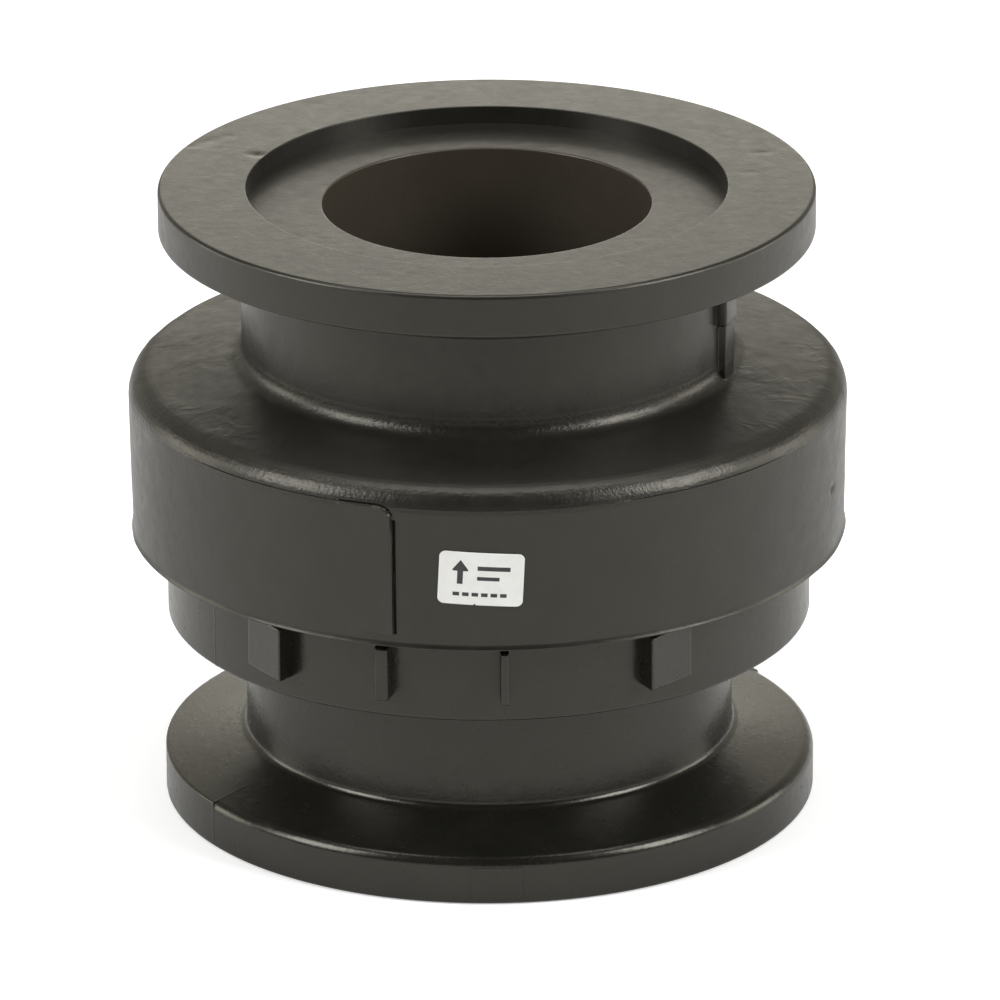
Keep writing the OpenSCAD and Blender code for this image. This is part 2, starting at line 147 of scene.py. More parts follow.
# Fine marks of the moulds: a lip at the barrel's foot, a groove under the shoulder and a gate's patch
LIP_STAND = 0.14
LIP_FLAT_H = 0.1
LIP_H = 0.36
LIP_ROUND = 0.05
GROOVE_LINE_Z = 33.25
GROOVE_LINE_HALF = 0.05
GROOVE_LINE_ROWS = (-1.3, -1, 1, 1.3)
GROOVE_LINE_DEPTH = 0.12
GROOVE_LINE_STARTS = (20, 28)
GROOVE_LINE_ENDS = (57, 47)
PATCH_EDGES = (-3.4, 5.7)
PATCH_Z = (0.5, 3.0)
PATCH_STAND = 0.05

# Unevenness of the two skins: the height of its waves, the share of it that the housing's front and back
# show, and how far inside the solids the skins lie
LONG_WAVES = 0.018
SHORT_WAVES = 0.008
FRONT_SHARE = 0.35
HOUSING_SINK = 0.02
FITTING_SINK = 0.008

# Marks of use: a nick on the barrel at the right, and small dents on the outlet's face, each with its
# start, its end, its half width and its depth
NICK_ANGLE = 73
NICK_SPREAD = 0.8
NICK_Z = 27.3
NICK_HALF_H = 0.26
NICK_ROWS = (-0.4, -0.2, 0, 0.2, 0.4)
NICK_DEPTH = 0.3
FACE_DENTS = (
    ((-23, 9.3), (-21.9, 10.7), 0.35, 0.06),
    ((-21.6, 10.5), (-20.2, 12), 0.3, 0.05),
    ((-17.75, 7.1), (-17.6, 7.45), 0.32, 0.2),
    ((-14, 19.2), (-13.2, 19.4), 0.35, 0.04),
    ((21, 7.2), (21.5, 7.2), 0.3, 0.05),
    ((20, 2.6), (20.5, 2.5), 0.35, 0.035),
)

# The O-ring and its groove
GROOVE_R = 21.5
GROOVE_Z = (SKIRT_TOP_Z - 3.4, SKIRT_TOP_Z - 1)
CORD_HALF = 0.89
CORD_ROUND = 0.7

# The label
LABEL_ANGLE = -1.2
LABEL_Z = 27.7
LABEL_W = 6.5
LABEL_H = 4.25
LABEL_T = 0.12
LABEL_TILT = 3
LABEL_CORNER = 0.5

# Inner pieces
SEAL_Z = SEAT_Z + REST_GAP
SEAL_R = 14.8
SEAL_BORE_R = 6.02
HEAD_Z = SEAL_Z + 2
SPRING_SEAT_Z = HEAD_Z + 2.5
STOP_Z = SPRING_SEAT_Z + 4.25
RETAINER_H = 1.2
RETAINER_R = 11.2
LOCK_H = 0.8
LOCK_R = 3.7
SCREW_HOLE_R = 2.1
SCREW_R = 1.98
SCREW_UNDER_Z = SEAL_Z - RETAINER_H - LOCK_H
HEAD_R = 15.9
STEM_R = 3.0
STEM_CLEAR = 0.08
STEM_TOP_Z = SHELF_Z - 0.1
HUB_Z = STOP_Z + 5.75
SPIDER_Z = SHELF_Z - 3
SPRING_R = 5.4
WIRE_R = 0.4
PILOT_R = 4.7
WASHER_R = 6.5
WASHER_BORE_R = 4.8
WASHER_H = 0.5
WASHER_BREAK = 0.06
SPRING_TOP_Z = SPIDER_Z - WASHER_H - REST_GAP

# A raised feature's edge, by the distance in from it: its foot, the top of its side, and the end of its bevel
EDGE_STEPS = (-0.01, 0.01, 0.12, 0.2)
EDGE_RISE = (0, 0.93, 1, 1)

# Meshes: columns round the axis, the longest side of an outline, and the angle at which shading breaks
MOULDING_COLUMNS = 420
MOULDING_SIDE = 0.6
MOULDING_SHARP = 50
INNER_COLUMNS = 128
INNER_SIDE = 1.2
INNER_SHARP = 40


# Shapes

def unit(v):
    return v / np.linalg.norm(v)


def rounded(corners, steps=8):
    """The outline of corners given as (radius, height, rounding), each rounding limited by its sides."""
    points = []
    count = len(corners)
    for i, (r, z, size) in enumerate(corners):
        corner = np.array((r, z), float)
        if size <= 0:
            points.append(corner)
            continue
        back = np.array(corners[i - 1][:2], float) - corner
        ahead = np.array(corners[(i + 1) % count][:2], float) - corner
        half = math.acos(max(-1.0, min(1.0, float(unit(back) @ unit(ahead))))) / 2
        reach = min(size / math.tan(half), 0.49 * np.linalg.norm(back), 0.49 * np.linalg.norm(ahead))
        centre = corner + unit(unit(back) + unit(ahead)) * reach * math.tan(half) / math.sin(half)
        first = corner + unit(back) * reach - centre
        last = corner + unit(ahead) * reach - centre
        sweep = math.pi - 2 * half
        for k in range(steps + 1):
            t = k / steps
            spoke = math.sin(sweep * (1 - t)) * first + math.sin(sweep * t) * last
            points.append(centre + spoke / math.sin(sweep))
    return points


def refined(points, longest, support=0.12):
    """Adds points along the long sides, with one close to each end so that flats stay flat when shaded.
    Only the first two columns are measured."""
    out = []
    for i, point in enumerate(points):
        side = points[(i + 1) % len(points)] - point
        length = np.linalg.norm(side[:2])
        out.append(point)
        if length < 3 * support:
            continue
        inner = length - 2 * support
        count = max(1, math.ceil(inner / longest))
        for k in range(count + 1):
            out.append(point + side * (support + inner * k / count) / length)
    return np.array(out)


def cut_rows(points, levels, least_r):
    """Adds points where the outer side of an outline passes each height."""
    out = []
    for i, point in enumerate(points):
        after = points[(i + 1) % len(points)]
        out.append(point)
        if min(point[0], after[0]) > least_r:
            z, rise = point[1], after[1] - point[1]
            passed = [level for level in levels if (z - level) * (after[1] - level) < 0]
            passed.sort(reverse=bool(rise < 0))
            out += [point + (after - point) * (level - z) / rise for level in passed]
    return np.array(out)


def edge_levels(low, high):
    """Heights of the rows that draw the lower and the upper edge of a raised feature."""
    return [low + s for s in EDGE_STEPS] + [high - s for s in EDGE_STEPS]


def raised(distance):
    """0 outside a raised feature and 1 inside it, with a small bevel."""
    return np.interp(distance, EDGE_STEPS, EDGE_RISE)


def around(count, edges=(), radius=25, clear=0.12):
    """Angles round the axis in degrees: even ones, and close lines at each feature's edge.
    An edge is an angle and the side on which the feature lies: 1 for larger angles, -1 for smaller ones."""
    fixed = [wrapped(angle + side * math.degrees(s / radius)) for angle, side in edges for s in EDGE_STEPS]
    lines = [360 * i / count - 180 for i in range(count)]
    spaced = [a for a in lines if all(abs(wrapped(a - f)) > clear for f in fixed)]
    return np.array(sorted(spaced + fixed))


def wrapped(angle):
    """An angle in degrees, brought between -180 and 180."""
    return (angle + 180) % 360 - 180


def smooth_step(x, start, end):
    """0 before the start and 1 past the end, with a smooth rise between them."""
    t = np.clip((x - start) / (end - start), 0, 1)
    return t * t * (3 - 2 * t)


def at(turn, r, z):
    """A point in metres, from an angle in radians and a radius and a height in millimetres."""
    return r * math.sin(turn) * MM, -r * math.cos(turn) * MM, z * MM


def hump(x, half):
    """1 at 0, with a smooth fall to both sides."""
    return np.exp(-(x / half) ** 2)


def plaster(theta, z, scale, seed, waves=10, spread=3.2):
    """Smooth noise on the wrapped surface, about -1 to 1, from a few turned sine waves."""
    rng = np.random.default_rng(seed)
    steepest = 0.275 * scale
    total = np.zeros(np.broadcast(theta, z).shape)
    for _ in range(waves):
        turns = rng.integers(int(2 * scale), int(8 * scale))
        rise = rng.uniform(-steepest, steepest)
        start = rng.uniform(0, 2 * math.pi)
        total = total + np.sin(turns * np.radians(theta) + rise * z + start) / spread
    return total


def placed(name, data):
    obj = bpy.data.objects.new(name, data)
    bpy.context.scene.collection.objects.link(obj)
    return obj


def new_object(name, verts, faces, material):
    mesh = bpy.data.meshes.new(name)
    mesh.from_pydata([tuple(v) for v in verts], [], faces)
    mesh.validate()
    mesh.update()
    for polygon in mesh.polygons:
        polygon.use_smooth = True
    mesh.materials.append(material)
    return placed(name, mesh)


def edited(obj, change):
    """Opens an object's mesh for editing, runs a change on it and stores it."""
    work = bmesh.new()
    work.from_mesh(obj.data)
    change(work)
    work.to_mesh(obj.data)
    work.free()
    return obj


def sharpened(obj, degrees):
    """Smooth shading that breaks at edges sharper than the angle given."""
    def mark(work):
        for edge in work.edges:
            edge.smooth = len(edge.link_faces) == 2 and edge.calc_face_angle() < math.radians(degrees)

    edited(obj, mark)
    for polygon in obj.data.polygons:
        polygon.use_smooth = True
    return obj


def lathe(name, profile, angles, material, shape=None):
    """A closed ring turned from a profile, or a capped one where the profile starts and ends on the axis.
    shape takes the angles, radii and heights of the points and their outward normals, and returns radii
    and heights."""
    profile = np.asarray(profile, float)
    on_axis = profile[0][0] < 1e-6 and profile[-1][0] < 1e-6
    ahead, behind = np.roll(profile, -1, axis=0), np.roll(profile, 1, axis=0)
    along = ahead - behind
    normals = np.stack([along[:, 1], -along[:, 0]], axis=1)
    normals /= np.maximum(np.linalg.norm(normals, axis=1), 1e-9)[:, None]
    area = np.sum(profile[:, 0] * ahead[:, 1] - ahead[:, 0] * profile[:, 1])
    if area < 0:
        normals = -normals
    rows, columns = len(profile), len(angles)
    theta = np.radians(angles)[:, None]
    r = np.repeat(profile[None, :, 0], columns, axis=0)
    z = np.repeat(profile[None, :, 1], columns, axis=0)
    if shape is not None:
        r, z = shape(np.degrees(theta) + 0 * r, r, z, normals[:, 0], normals[:, 1])
    points = np.stack([r * np.sin(theta), -r * np.cos(theta), z], axis=2) * MM
    faces = []
    for i in range(columns):
        j = (i + 1) % columns
        for k in range(rows - 1 if on_axis else rows):
            m = (k + 1) % rows
            quad = (i * rows + k, j * rows + k, j * rows + m, i * rows + m)
            faces.append(quad if area > 0 else quad[::-1])
    obj = new_object(name, points.reshape(-1, 3), faces, material)
    if on_axis:
        edited(obj, lambda work: bmesh.ops.remove_doubles(work, verts=work.verts, dist=1e-7))
    return obj


def skinned(name, rings, material):
    """A closed skin over rings of as many points each, in metres, with a flat face at both ends."""
    size = len(rings[0])
    faces = []
    for i in range(len(rings) - 1):
        for k in range(size):
            m = (k + 1) % size
            faces.append((i * size + k, (i + 1) * size + k, (i + 1) * size + m, i * size + m))
    faces.append(tuple(range(size - 1, -1, -1)))
    faces.append(tuple((len(rings) - 1) * size + k for k in range(size)))
    obj = new_object(name, [point for ring_points in rings for point in ring_points], faces, material)
    return edited(obj, lambda work: bmesh.ops.recalc_face_normals(work, faces=work.faces))


# Materials

def new_material(name):
    material = bpy.data.materials.new(name)
    material.use_nodes = True
    return material, material.node_tree, material.node_tree.nodes["Principled BSDF"].inputs


def feed(tree, inputs, values):
    """Sets a node's inputs, each to another node's output, a number or a colour."""
    for key, value in values.items():
        if isinstance(value, bpy.types.NodeSocket):
            tree.links.new(value, inputs[key])
        elif isinstance(value, tuple):
            inputs[key].default_value = (*value, 1)
        else:
            inputs[key].default_value = value


def object_coords(tree):
    return tree.nodes.new("ShaderNodeTexCoord").outputs["Object"]


def axes_node(tree, vector):
    """The X, Y and Z of a vector."""
    node = tree.nodes.new("ShaderNodeSeparateXYZ")
    tree.links.new(vector, node.inputs["Vector"])
    return node.outputs["X"], node.outputs["Y"], node.outputs["Z"]


def noise_node(tree, coords, scale, detail=4, roughness=0.55, distortion=0.0):
    node = tree.nodes.new("ShaderNodeTexNoise")
    feed(tree, node.inputs, {
        "Vector": coords, "Scale": scale, "Detail": detail, "Roughness": roughness, "Distortion": distortion})
    return node.outputs["Fac"]


def blend_node(tree, value, limits, colours):
    """One colour up to the first limit, another from the second limit on, and a blend between them."""
    node = tree.nodes.new("ShaderNodeValToRGB")
    for element, position, colour in zip(node.color_ramp.elements, limits, colours):
        element.position = position
        element.color = (*colour, 1)
    tree.links.new(value, node.inputs["Fac"])
    return node.outputs["Color"]


def range_node(tree, value, limits, results):
    """A value between two limits, spread over the range of the results."""
    node = tree.nodes.new("ShaderNodeMapRange")
    feed(tree, node.inputs, {"Value": value, "From Min": limits[0], "From Max": limits[1]})
    feed(tree, node.inputs, {"To Min": results[0], "To Max": results[1]})
    return node.outputs["Result"]


def math_node(tree, operation, first, second):
    node = tree.nodes.new("ShaderNodeMath")
    node.operation = operation
    feed(tree, node.inputs, {0: first, 1: second})
    return node.outputs["Value"]


def mix_node(tree, factor, first, second):
    """A mix of two colours."""
    node = tree.nodes.new("ShaderNodeMix")
    node.data_type = "RGBA"
    feed(tree, node.inputs, {"Factor": factor, 6: first, 7: second})
    return node.outputs[2]


def bump_node(tree, height, distance, normal=None):
    node = tree.nodes.new("ShaderNodeBump")
    feed(tree, node.inputs, {"Height": height, "Distance": distance})
    if normal is not None:
        tree.links.new(normal, node.inputs["Normal"])
    return node.outputs["Normal"]


def zone_node(tree, value, low, high):
    """1 where a value lies between two limits in millimetres and 0 outside them, with soft ends."""
    low, high = low * MM, high * MM
    soft = (high - low) * 0.2
    rising = range_node(tree, value, (low, low + soft), (0, 1))
    falling = range_node(tree, value, (high - soft, high), (1, 0))
    return math_node(tree, "MULTIPLY", rising, falling)


# Where the housing's material changes on its shoulder, by height or by the distance to the side
DULL_ZONE = (34.3, 36.1)
DULLER_BY = 0.13
WRINKLE_ZONE = (34.2, 37.5)
WRINKLE_ASIDE = (13 * MM, 20 * MM)
WRINKLE_DEPTH = 0.026 * MM
SPARKLE_ZONES = ((32.2, 34.9), (35.9, 37.4))
SPARKLE_DEPTH = 0.034 * MM


def painted_bore_light(tree, colour, x, y, bore):
    """A lighter, browner colour inside the bore's wall than the plastic has: painted light in the shaded
    bore.
    """
    squares = math_node(tree, "ADD", math_node(tree, "POWER", x, 2.0), math_node(tree, "POWER", y, 2.0))
    radius = math_node(tree, "POWER", squares, 0.5)
    wall_r = BORE_R + 0.1
    inside = range_node(tree, radius, (wall_r * MM, (wall_r + 0.02) * MM), (1, 0))
    return mix_node(tree, inside, colour, bore)


def wrinkles(tree, coords, x, z, normal):
    """Worm-like wrinkles in patches on the sides of the shoulder, and a sparkle in its two highlights."""
    sides = range_node(tree, math_node(tree, "ABSOLUTE", x, 0.0), WRINKLE_ASIDE, (0, 1))
    worms = noise_node(tree, coords, scale=420, detail=1, roughness=0.5, distortion=1.4)
    patches = noise_node(tree, coords, scale=160, detail=2)
    where = math_node(tree, "MULTIPLY", sides, zone_node(tree, z, *WRINKLE_ZONE))
    where = math_node(tree, "MULTIPLY", where, range_node(tree, patches, (0.45, 0.62), (0.05, 1)))
    height = math_node(tree, "MULTIPLY", range_node(tree, worms, (0.42, 0.6), (0, 1)), where)
    normal = bump_node(tree, height, WRINKLE_DEPTH, normal)
    band = math_node(tree, "ADD", *(zone_node(tree, z, *zone) for zone in SPARKLE_ZONES))
    grit = noise_node(tree, coords, scale=3200, detail=2, roughness=0.6)
    return bump_node(tree, math_node(tree, "MULTIPLY", grit, band), SPARKLE_DEPTH, normal)


def moulded_plastic(name, colours, rough, grain, grain_depth, bore=None, wrinkled=False):
    """Black moulded plastic with a fine grain, if asked with painted light in its bore or a wrinkled
    shoulder.
    """
    material, tree, inputs = new_material(name)
    coords = object_coords(tree)
    x, y, z = axes_node(tree, coords)
    colour = blend_node(tree, noise_node(tree, coords, scale=340, detail=5), (0.3, 0.75), colours)
    blotches = noise_node(tree, coords, scale=900, roughness=0.6)
    roughness = range_node(tree, blotches, (0.25, 0.75), rough)
    coarse = noise_node(tree, coords, scale=grain / 3, detail=3, roughness=0.5)
    fine = noise_node(tree, coords, scale=grain, detail=3, roughness=0.6)
    normal = bump_node(tree, coarse, grain_depth * 1.2)
    # Painted light: a lighter, browner colour on the bore's wall, in place of the light inside the bore
    if bore is not None:
        colour = painted_bore_light(tree, colour, x, y, bore)
    if wrinkled:
        duller = math_node(tree, "MULTIPLY", zone_node(tree, z, *DULL_ZONE), DULLER_BY)
        roughness = math_node(tree, "ADD", roughness, duller)
        normal = wrinkles(tree, coords, x, z, normal)
    normal = bump_node(tree, fine, grain_depth, normal)
    feed(tree, inputs, {
        "Base Color": colour, "Roughness": roughness, "Normal": normal, "Specular Tint": (1.0, 0.965, 0.84)})
    return material


def metal(name, colour, rough, scale):
    material, tree, inputs = new_material(name)
    coords = object_coords(tree)
    cloud = noise_node(tree, coords, scale=scale / 4)
    streak = noise_node(tree, coords, scale=scale, detail=5, roughness=0.7)
    darker = [c * 0.85 for c in colour]
    clouded = blend_node(tree, cloud, (0.3, 0.7), (darker, colour))
    streaked = range_node(tree, streak, (0.3, 0.7), rough)
    normal = bump_node(tree, streak, 0.01 * MM)
    feed(tree, inputs, {"Base Color": clouded, "Roughness": streaked, "Normal": normal, "Metallic": 1.0})
    return material


def cloudy(name, colours, rough, cloud_scale=900, tooth_scale=6000, tooth_detail=2, tooth_depth=0.004 * MM):
    """A cloudy surface with a fine tooth: a printed film, or with other numbers rubber."""
    material, tree, inputs = new_material(name)
    coords = object_coords(tree)
    cloud = noise_node(tree, coords, scale=cloud_scale)
    tooth = noise_node(tree, coords, scale=tooth_scale, detail=tooth_detail)
    clouded = blend_node(tree, cloud, (0.3, 0.7), colours)
    roughness = range_node(tree, cloud, (0.3, 0.7), rough)
    normal = bump_node(tree, tooth, tooth_depth)
    feed(tree, inputs, {"Base Color": clouded, "Roughness": roughness, "Normal": normal})
    return material


# The bore colour is lighter and browner than the plastic: painted light inside the bore
HOUSING_BLACK = moulded_plastic(
    "housing_black", ((0.0105, 0.0101, 0.0085), (0.0145, 0.014, 0.0118)), rough=(0.30, 0.40),
    grain=3600, grain_depth=0.013 * MM, bore=(0.043, 0.035, 0.026), wrinkled=True)
FITTING_BLACK = moulded_plastic(
    "fitting_black", ((0.0095, 0.0092, 0.0077), (0.013, 0.0126, 0.0106)), rough=(0.20, 0.30),
    grain=3600, grain_depth=0.012 * MM)
GUIDE_BLACK = moulded_plastic(
    "guide_black", ((0.014, 0.012, 0.009), (0.02, 0.017, 0.013)), rough=(0.38, 0.5),
    grain=4200, grain_depth=0.012 * MM)
STEEL = metal("stainless", (0.62, 0.615, 0.6), rough=(0.22, 0.36), scale=900)
WIRE = metal("spring_wire", (0.55, 0.54, 0.52), rough=(0.18, 0.3), scale=1500)
BRASS = metal("turned_brass", (0.72, 0.53, 0.25), rough=(0.2, 0.34), scale=900)
RUBBER = cloudy(
    "elastomer", ((0.011, 0.011, 0.012), (0.02, 0.02, 0.021)), rough=(0.55, 0.72),
    cloud_scale=300, tooth_scale=4000, tooth_detail=3, tooth_depth=0.02 * MM)
PAPER = cloudy("label_paper", ((0.75, 0.75, 0.72), (0.81, 0.81, 0.78)), rough=(0.4, 0.5))
INK = cloudy("label_ink", ((0.02, 0.02, 0.02), (0.04, 0.04, 0.04)), rough=(0.45, 0.55))


# The housing

BARREL_FOOT_R = BARREL_R - (SHOULDER_Z - COLLAR_TOP_Z) * BARREL_DRAFT


def barrel_r_at(z):
    return BARREL_FOOT_R + (z - COLLAR_TOP_Z) * BARREL_DRAFT


def on_barrel(r, z):
    return (r > BARREL_FOOT_R - 1) & (z < SHOULDER_Z - 0.5)


def housing_profile():
    rim_z = OVERALL_H - RIM_H
    recess_z = OVERALL_H - RECESS_DEPTH
    corners = [
        (THREAD_R + JOINT_CLEAR, COLLAR_TOP_Z, FOOT_ROUND),
        (BARREL_FOOT_R + LIP_STAND, COLLAR_TOP_Z, LIP_ROUND),
        (BARREL_FOOT_R + LIP_STAND, COLLAR_TOP_Z + LIP_FLAT_H, LIP_ROUND),
        (BARREL_FOOT_R + 0.01, COLLAR_TOP_Z + LIP_H, 0),
        (BARREL_R, SHOULDER_Z, SHOULDER_ROUND),
        (NECK_R, SHOULDER_Z + (BARREL_R - NECK_R) * SHOULDER_SLOPE, NECK_FILLET),
        (NECK_R, rim_z - (FLANGE_R - NECK_R) * CLAMP_SLOPE, CLAMP_FILLET),
        (FLANGE_R, rim_z, EDGE_BREAK),
        (FLANGE_R, OVERALL_H, EDGE_BREAK),
        (RECESS_R, OVERALL_H, RECESS_EDGE),
        (RECESS_R, recess_z, 0),
        (BORE_R, recess_z, FINE_BREAK),
        (BORE_R, SHELF_Z, 0),
        (COUNTERBORE_R, SHELF_Z, 0),
        (COUNTERBORE_R, CEILING_TOP_Z, EDGE_BREAK),
        (LAND_R + JOINT_CLEAR, CEILING_Z, 0),
        (LAND_R + JOINT_CLEAR, THREAD_TOP_Z + THREAD_R - LAND_R, 0),
        (THREAD_R + JOINT_CLEAR, THREAD_TOP_Z, 0),
    ]
    levels = edge_levels(*PAD_Z)
    levels += [PAD_Z[1] - PAD_CORNER * k / PAD_CORNER_ROWS for k in range(1, PAD_CORNER_ROWS)]
    levels += [PAD_Z[1] + s for s in PAD_LINE_ROWS]
    levels += [STRIP_STEP_Z + s for s in EDGE_STEPS]
    levels += [NICK_Z + s for s in NICK_ROWS]
    levels += [GROOVE_LINE_Z + s * GROOVE_LINE_HALF for s in GROOVE_LINE_ROWS]
    return cut_rows(refined(rounded(corners), MOULDING_SIDE), levels, NECK_R - 1)


def with_pad(theta, r, z):
    """The flat pad, a plane that leaves the round wall at its left edge, and the dark line round its rest."""
    across = wrapped(theta - PAD_ANGLE)
    wall_r = barrel_r_at(z)
    plane = wall_r / np.cos(np.radians(np.clip(across, 0, PAD_REACH)))
    to_right = PAD_W - wall_r * np.tan(np.radians(np.clip(across, -PAD_REACH, PAD_REACH)))
    in_corner = np.clip(PAD_CORNER - to_right, 0, PAD_CORNER)
    top = PAD_Z[1] - PAD_CORNER + np.sqrt(PAD_CORNER ** 2 - in_corner ** 2)
    above_foot = raised(z - PAD_Z[0])
    pad = (across > 0) * raised(to_right) * above_foot * raised(top - z) * on_barrel(r, z)
    r = r + pad * np.maximum(plane - r, 0)
    past_left = raised(np.radians(across) * wall_r)
    line = hump(np.minimum(to_right, top - z) + PAD_LINE_OUT, PAD_LINE_HALF) * past_left * above_foot
    return r - on_barrel(r, z) * PAD_LINE_DEPTH * line


def with_nick(theta, r, z):
    nick = hump(wrapped(theta - NICK_ANGLE), NICK_SPREAD) * hump(z - NICK_Z, NICK_HALF_H)
    return r - on_barrel(r, z) * NICK_DEPTH * nick


def with_strips(theta, r, z):
    """Each strip is prouder and a little wider above its step."""
    neck = (z > SHOULDER_Z + 1) & (z < OVERALL_H - RIM_H) & (r > NECK_R - 0.1)
    above = raised(z - STRIP_STEP_Z)
    left, inner_left, right = (math.radians(edge) * NECK_R for edge in STRIP_EDGES)
    for angle in STRIP_ANGLES:
        off = np.radians(wrapped(theta - angle)) * NECK_R
        low = raised(off - inner_left) * raised(right - off) * STRIP_LOW_SHARE * STRIP_STAND
        high = raised(off - left) * raised(right - off) * STRIP_STAND
        r = np.where(neck, np.maximum(r, NECK_R + low + (high - low) * above), r)
    return r


def with_groove_line(theta, r, z):
    """A fine groove under the shoulder's rounding, left and right, that fades out at its ends."""
    aside = np.abs(wrapped(theta))
    shown = smooth_step(aside, *GROOVE_LINE_STARTS) * smooth_step(aside, *GROOVE_LINE_ENDS)
    in_line = (np.abs(z - GROOVE_LINE_Z) < 1.1 * GROOVE_LINE_HALF) & (r > BARREL_FOOT_R - 0.5)
    return np.where(in_line, r - GROOVE_LINE_DEPTH * shown, r)


def dented(theta, r, z):
    """The heights of the points, with the dents in the outlet's face."""
    x, y = r * np.sin(np.radians(theta)), -r * np.cos(np.radians(theta))
    for start, end, half, depth in FACE_DENTS:
        dx, dy = end[0] - start[0], end[1] - start[1]
        along = np.clip(((x - start[0]) * dx + (y - start[1]) * dy) / (dx ** 2 + dy ** 2), 0, 1)
        off = np.hypot(x - start[0] - along * dx, y - start[1] - along * dy)
        z = np.where(z > OVERALL_H - 0.01, z - depth * hump(off, half), z)
    return z


def flow_marks(theta, r, z):
    """Shrinkage and flow marks below the rim, strongest at the sides, all inside the solid's surface."""
    skin = (r > NECK_R - 1) & (z < OVERALL_H - RIM_H)
    sides = np.abs(np.sin(np.radians(theta)))
    long_waves = plaster(theta, z + r, scale=2.5, seed=3) * LONG_WAVES
    short_waves = plaster(theta, z - r, scale=7, seed=4) * SHORT_WAVES
    share = FRONT_SHARE + (1 - FRONT_SHARE) * sides
    return np.where(skin, (long_waves + short_waves - HOUSING_SINK) * share, 0)


def housing_shape(theta, r, z, normal_r, normal_z):
    for change in (with_pad, with_nick, with_strips, with_groove_line):
        r = change(theta, r, z)
    z = dented(theta, r, z)
    marks = flow_marks(theta, r, z)
    return r + marks * normal_r, z + marks * normal_z


def upper_housing():
    pad_right = PAD_ANGLE + math.degrees(math.atan(PAD_W / barrel_r_at(sum(PAD_Z) / 2)))
    edges = [(PAD_ANGLE, 1), (pad_right + PAD_LINE_COLUMN, 1)]
    edges += [(pad_right - back, -1) for back in PAD_CORNER_COLUMNS]
    edges += [(a + e, side) for a in STRIP_ANGLES for e, side in zip(STRIP_EDGES, (1, 1, -1))]
    angles = around(MOULDING_COLUMNS, edges)
    obj = lathe("upper_casing", housing_profile(), angles, HOUSING_BLACK, housing_shape)
    return sharpened(obj, MOULDING_SHARP)


# The end fitting

def fitting_profile(rim_round):
    clamp_rise = (FLANGE_R - FITTING_NECK_R) * LOWER_CLAMP_SLOPE
    return rounded([
        (RECESS_R, 0, FINE_BREAK),
        (FLANGE_R, 0, EDGE_BREAK),
        (FLANGE_R, LOWER_RIM_H, rim_round),
        (FITTING_NECK_R, LOWER_RIM_H + clamp_rise, LOWER_CLAMP_FILLET),
        (FITTING_NECK_R, COLLAR_Z, EDGE_BREAK),
        (COLLAR_R, COLLAR_Z, EDGE_BREAK),
        (COLLAR_R, COLLAR_TOP_Z, 0),
        (THREAD_R, COLLAR_TOP_Z, 0),
        (THREAD_R, THREAD_TOP_Z - EDGE_BREAK, FINE_BREAK),
        (LAND_R, THREAD_TOP_Z + THREAD_R - LAND_R - EDGE_BREAK, 0),
        (LAND_R, GROOVE_Z[0], FINE_BREAK),
        (GROOVE_R, GROOVE_Z[0], 0),
        (GROOVE_R, GROOVE_Z[1], 0),
        (LAND_R, GROOVE_Z[1], FINE_BREAK),
        (LAND_R, SKIRT_TOP_Z, EDGE_BREAK),
        (CHAMBER_R, SKIRT_TOP_Z, EDGE_BREAK),
        (CHAMBER_R, SEAT_Z - TROUGH_DEPTH, 1),
        (SEAT_R + TROUGH_DEPTH, SEAT_Z - TROUGH_DEPTH, 0.5),
        (SEAT_R, SEAT_Z, FINE_BREAK),
        (THROAT_R, SEAT_Z, FINE_BREAK),
        (THROAT_R, THROAT_Z, 0),
        (BORE_R, THROAT_FOOT_Z, 0),
        (BORE_R, RECESS_DEPTH, FINE_BREAK),
        (RECESS_R, RECESS_DEPTH, INLET_RECESS_ROUND),
    ])


def lug_ramp(off):
    """How far a lug stands off the collar, by the degrees from its radial face: a straight fall."""
    tall, low = COLLAR_R + LUG_STAND, COLLAR_R + LUG_TAIL
    turn, whole = np.radians(np.clip(off, 0, LUG_SWEEP)), math.radians(LUG_SWEEP)
    return tall * low * math.sin(whole) / (tall * np.sin(turn) + low * np.sin(whole - turn)) - COLLAR_R


def collar_stand(theta, z):
    """How far the lugs and the ribs stand off the collar."""
    stand = np.zeros(theta.shape)
    for angle, side in LUG_FACES:
        off = side * wrapped(theta - angle)
        ends = raised(np.radians(off) * COLLAR_R) * raised(np.radians(LUG_SWEEP - off) * COLLAR_R)
        stand = np.maximum(stand, lug_ramp(off) * ends)
    for angle, width in RIBS:
        off = np.radians(np.abs(wrapped(theta - angle))) * COLLAR_R
        stand = np.maximum(stand, RIB_STAND * raised(width / 2 - off))
    return stand * raised(z - LUG_Z[0]) * raised(LUG_Z[1] - z)


def patch_stand(theta, z):
    """How far the gate's patch stands off the rim."""
    left, right = (np.radians(wrapped(theta - e)) * FLANGE_R for e in PATCH_EDGES)
    return PATCH_STAND * raised(left) * raised(-right) * raised(z - PATCH_Z[0]) * raised(PATCH_Z[1] - z)


def wander(z):
    """How far the parting line strays on the collar, in degrees: two waves of the height."""
    return np.where(z > COLLAR_Z, 0.12 * np.sin(2.1 * z) + 0.08 * np.sin(5.3 * z + 1), 0)


def fitting_marks(theta, r, z):
    """Faint unevenness, and a thin raised line where the mould parts: on the collar, on the rim and on the
    outer part of the rim's slope."""
    skin = (r > FITTING_NECK_R - 0.5) & (z > 0.2) & (z < COLLAR_TOP_Z)
    marks = plaster(theta, z + r, scale=2, seed=7) * SHORT_WAVES - FITTING_SINK
    line_shown = (z > COLLAR_Z) | (r > PARTING_LEAST_R)
    for angle in PARTING_ANGLES:
        marks = marks + line_shown * PARTING_STAND * hump(wrapped(theta - angle) - wander(z), PARTING_HALF)
    return np.where(skin, marks, 0)


